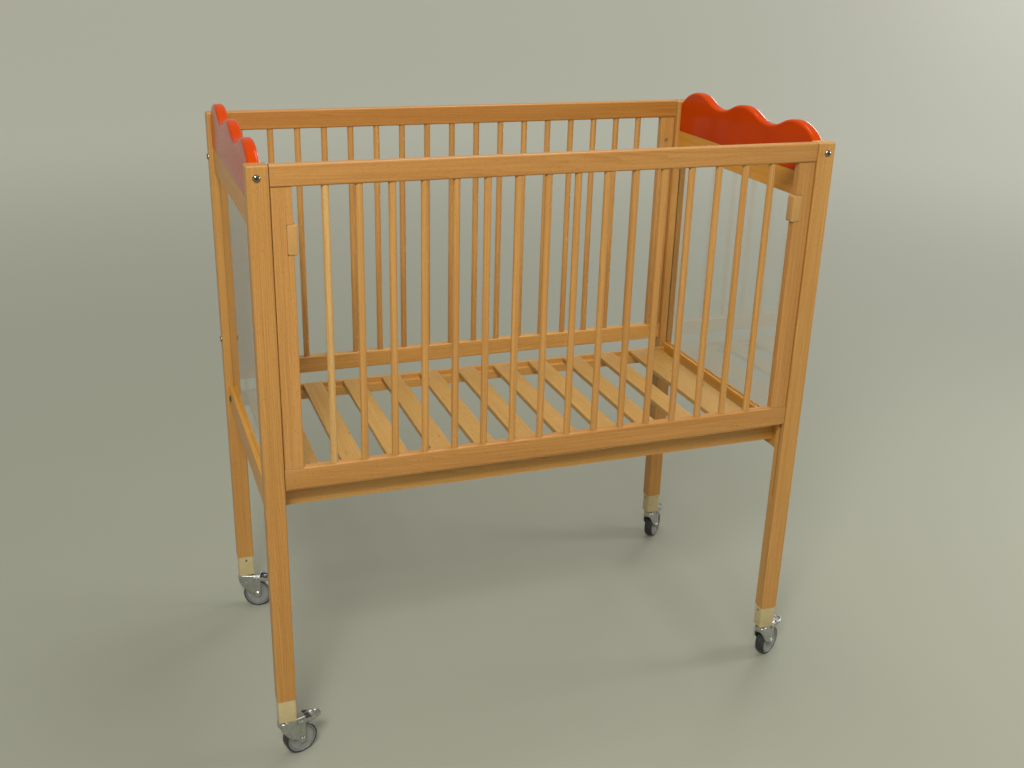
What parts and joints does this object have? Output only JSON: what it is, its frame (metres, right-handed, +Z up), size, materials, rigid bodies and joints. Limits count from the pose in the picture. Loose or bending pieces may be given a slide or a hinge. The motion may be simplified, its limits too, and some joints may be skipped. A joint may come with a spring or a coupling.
{
  "type": "pediatric hospital cot",
  "caption": "High slatted-base hospital cot with bar sides, a drop side with two catches, clear ends with wave-topped boards, and braked swivel casters.",
  "frame": {"origin": "on the floor, centred between the four posts", "axes": "+Z up, +X along the cot towards its right end, -Y out of the drop side"},
  "size_m": [1.3168, 0.7295, 1.358],
  "materials": {
    "oiled_beech": "warm oiled beech, satin",
    "slat_wood": "pale sanded softwood, matt",
    "catch_wood": "pale unstained hardwood, satin",
    "orange_lacquer": "orange lacquered board, gloss",
    "clear_sheet": "clear acrylic, polished",
    "cream_sleeve": "cream coated, satin",
    "bright_bolt": "polished",
    "dark_bolt": "blackened, satin",
    "zinc_steel": "zinc plated pressing",
    "wheel_grey": "moulded nylon, matt",
    "tyre_black": "solid rubber, matt"
  },
  "bodies": {
    "frame": {"post_front_left": "oiled_beech", "post_front_right": "oiled_beech", "post_rear_left": "oiled_beech", "post_rear_right": "oiled_beech", "foot_sleeves": "cream_sleeve", "sleeve_screws": "bright_bolt", "end_bottom_rail_left": "oiled_beech", "end_top_rail_left": "oiled_beech", "clear_sheet_left": "clear_sheet", "crest_board_left": "orange_lacquer", "end_bottom_rail_right": "oiled_beech", "end_top_rail_right": "oiled_beech", "clear_sheet_right": "clear_sheet", "crest_board_right": "orange_lacquer", "end_bolts": "bright_bolt", "base_rail_front": "oiled_beech", "base_rail_rear": "oiled_beech", "slats": "slat_wood", "base_bolts": "dark_bolt", "rear_top_rail": "oiled_beech", "rear_bottom_rail": "oiled_beech", "rear_stile_left": "oiled_beech", "rear_stile_right": "oiled_beech", "rear_bars": "oiled_beech", "barrel_nuts": "zinc_steel", "side_bolts": "bright_bolt", "caster_stems": "zinc_steel"},
    "drop_side": {"drop_top_rail": "oiled_beech", "drop_bottom_rail": "oiled_beech", "drop_stile_left": "oiled_beech", "drop_stile_right": "oiled_beech", "drop_bars": "oiled_beech", "guide_studs": "zinc_steel"},
    "catch_left": {"catch_left": "catch_wood", "latch_bolt_left": "bright_bolt"},
    "catch_right": {"catch_right": "catch_wood", "latch_bolt_right": "bright_bolt"},
    "swivel_front_left": {"fork_front_left": "zinc_steel", "axle_front_left": "bright_bolt"},
    "wheel_front_left": {"wheel_front_left": "wheel_grey", "tyre_front_left": "tyre_black"},
    "pedal_front_left": {"pedal_front_left": "zinc_steel"},
    "swivel_front_right": {"fork_front_right": "zinc_steel", "axle_front_right": "bright_bolt"},
    "wheel_front_right": {"wheel_front_right": "wheel_grey", "tyre_front_right": "tyre_black"},
    "pedal_front_right": {"pedal_front_right": "zinc_steel"},
    "swivel_rear_left": {"fork_rear_left": "zinc_steel", "axle_rear_left": "bright_bolt"},
    "wheel_rear_left": {"wheel_rear_left": "wheel_grey", "tyre_rear_left": "tyre_black"},
    "pedal_rear_left": {"pedal_rear_left": "zinc_steel"},
    "swivel_rear_right": {"fork_rear_right": "zinc_steel", "axle_rear_right": "bright_bolt"},
    "wheel_rear_right": {"wheel_rear_right": "wheel_grey", "tyre_rear_right": "tyre_black"},
    "pedal_rear_right": {"pedal_rear_right": "zinc_steel"}
  },
  "joints": [
    {"name": "drop_side_slide", "type": "slide", "parent": "frame", "child": "drop_side", "axis": [0, 0, 1], "range_m": [-0.208, 0]},
    {"name": "catch_left_slide", "type": "slide", "parent": "drop_side", "child": "catch_left", "axis": [1, 0, 0], "range_m": [0, 0.01], "stiffness_N_per_m": 600, "springref_m": -0.005},
    {"name": "catch_right_slide", "type": "slide", "parent": "drop_side", "child": "catch_right", "axis": [-1, 0, 0], "range_m": [0, 0.01], "stiffness_N_per_m": 600, "springref_m": -0.005},
    {"name": "swivel_front_left_turn", "type": "hinge", "parent": "frame", "child": "swivel_front_left", "pos_m": [-0.6092, -0.3241, 0.09], "axis": [0, 0, 1], "continuous": true},
    {"name": "wheel_front_left_roll", "type": "hinge", "parent": "swivel_front_left", "child": "wheel_front_left", "pos_m": [-0.58147, -0.31562, 0.0375], "axis": [-0.2924, 0.9563, 0], "continuous": true},
    {"name": "pedal_front_left_press", "type": "hinge", "parent": "swivel_front_left", "child": "pedal_front_left", "pos_m": [-0.58242, -0.31591, 0.084], "axis": [-0.2924, 0.9563, 0], "range_deg": [0, 14]},
    {"name": "swivel_front_right_turn", "type": "hinge", "parent": "frame", "child": "swivel_front_right", "pos_m": [0.6092, -0.3241, 0.09], "axis": [0, 0, 1], "continuous": true},
    {"name": "wheel_front_right_roll", "type": "hinge", "parent": "swivel_front_right", "child": "wheel_front_right", "pos_m": [0.63456, -0.31004, 0.0375], "axis": [-0.4848, 0.8746, 0], "continuous": true},
    {"name": "pedal_front_right_press", "type": "hinge", "parent": "swivel_front_right", "child": "pedal_front_right", "pos_m": [0.63369, -0.31052, 0.084], "axis": [-0.4848, 0.8746, 0], "range_deg": [0, 14]},
    {"name": "swivel_rear_left_turn", "type": "hinge", "parent": "frame", "child": "swivel_rear_left", "pos_m": [-0.6092, 0.3241, 0.09], "axis": [0, 0, 1], "continuous": true},
    {"name": "wheel_rear_left_roll", "type": "hinge", "parent": "swivel_rear_left", "child": "wheel_rear_left", "pos_m": [-0.58132, 0.31611, 0.0375], "axis": [0.2756, 0.9613, 0], "continuous": true},
    {"name": "pedal_rear_left_press", "type": "hinge", "parent": "swivel_rear_left", "child": "pedal_rear_left", "pos_m": [-0.58229, 0.31638, 0.084], "axis": [0.2756, 0.9613, 0], "range_deg": [0, 14]},
    {"name": "swivel_rear_right_turn", "type": "hinge", "parent": "frame", "child": "swivel_rear_right", "pos_m": [0.6092, 0.3241, 0.09], "axis": [0, 0, 1], "continuous": true},
    {"name": "wheel_rear_right_roll", "type": "hinge", "parent": "swivel_rear_right", "child": "wheel_rear_right", "pos_m": [0.63075, 0.34351, 0.0375], "axis": [-0.6691, 0.7431, 0], "continuous": true},
    {"name": "pedal_rear_right_press", "type": "hinge", "parent": "swivel_rear_right", "child": "pedal_rear_right", "pos_m": [0.63001, 0.34284, 0.084], "axis": [-0.6691, 0.7431, 0], "range_deg": [0, 14]}
  ]
}
